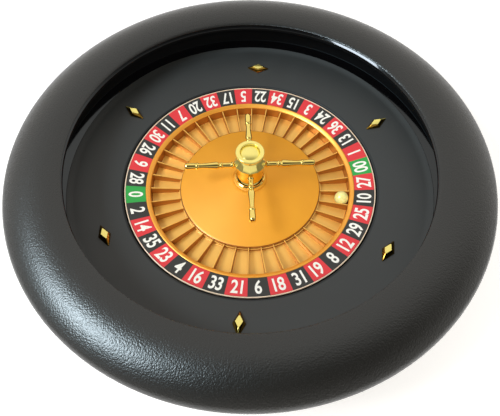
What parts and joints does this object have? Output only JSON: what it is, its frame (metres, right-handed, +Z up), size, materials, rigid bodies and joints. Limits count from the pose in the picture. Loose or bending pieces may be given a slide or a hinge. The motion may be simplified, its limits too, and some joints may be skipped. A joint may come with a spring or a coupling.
{
  "type": "roulette wheel",
  "caption": "Table-top roulette wheel: domed black bowl with gilt deflectors, a free-spinning numbered rotor with pockets and a spoked turret, and a loose ball.",
  "frame": {"origin": "centre of the wheel's circle, on the table under its feet", "axes": "+Z up the spindle, +X towards the gap between two deflectors a little clockwise of sector 27's centre line, -Y towards the viewer"},
  "size_m": [0.4572, 0.4572, 0.097],
  "materials": {
    "pebbled_plastic": "fine pebble grain, semi-gloss",
    "gloss_black": "polished moulding",
    "matte_black": "fine matte grain",
    "number_print": "printed red, black and green sectors with white numbers",
    "gold_plastic": "gold lacquered moulding",
    "satin_gold": "satin gold lacquer",
    "gilt": "polished gilt plating",
    "ivory_resin": "smooth ivory resin",
    "foot_rubber": "plain",
    "steel": "turned",
    "cage_brass": "pressed"
  },
  "bodies": {
    "bowl": {"outer_rim": "pebbled_plastic", "ball_track": "gloss_black", "apron": "matte_black", "spindle_plate": "matte_black", "outer_shell": "matte_black", "base_plate": "matte_black", "spindle": "steel", "spindle_washer": "steel", "spindle_nut": "steel", "bearing_spacer": "steel", "lower_inner_race": "steel", "upper_inner_race": "steel", "deflector_1": "gilt", "deflector_2": "gilt", "deflector_3": "gilt", "deflector_4": "gilt", "deflector_5": "gilt", "deflector_6": "gilt", "foot_1": "foot_rubber", "foot_2": "foot_rubber", "foot_3": "foot_rubber", "foot_4": "foot_rubber", "base_screw_1": "steel", "base_screw_2": "steel", "base_screw_3": "steel", "base_screw_4": "steel", "base_screw_5": "steel", "base_screw_6": "steel", "spindle_screw_1": "steel", "spindle_screw_2": "steel", "spindle_screw_3": "steel"},
    "rotor": {"number_ring": "number_print", "number_ring_trim": "gold_plastic", "pocket_wall": "gold_plastic", "pocket_floor": "gold_plastic", "fret_ring": "gold_plastic", "cone": "satin_gold", "rotor_pan": "matte_black", "rotor_hub": "matte_black", "lower_outer_race": "steel", "upper_outer_race": "steel", "turret_column": "gilt", "turret_head": "gilt", "turret_ring": "gilt", "turret_button": "gilt", "spoke_1": "gilt", "spoke_2": "gilt", "spoke_3": "gilt", "spoke_4": "gilt", "pan_screw_1": "steel", "pan_screw_2": "steel", "pan_screw_3": "steel", "pan_screw_4": "steel"},
    "bearing_cages": {"lower_ball_cage": "cage_brass", "upper_ball_cage": "cage_brass"},
    "ball": {"roulette_ball": "ivory_resin"}
  },
  "joints": [
    {"name": "rotor_spin", "type": "hinge", "parent": "bowl", "child": "rotor", "pos_m": [0, 0, 0.042], "axis": [0, 0, 1], "continuous": true},
    {"name": "cage_spin", "type": "hinge", "parent": "bowl", "child": "bearing_cages", "pos_m": [0, 0, 0.042], "axis": [0, 0, 1], "continuous": true},
    {"name": "ball_lift", "type": "slide", "parent": "rotor", "child": "ball", "axis": [0, 0, 1], "range_m": [0, 0.1]}
  ],
  "couplings": [
    {"joint": "cage_spin", "follows": "rotor_spin", "ratio": 0.6}
  ]
}
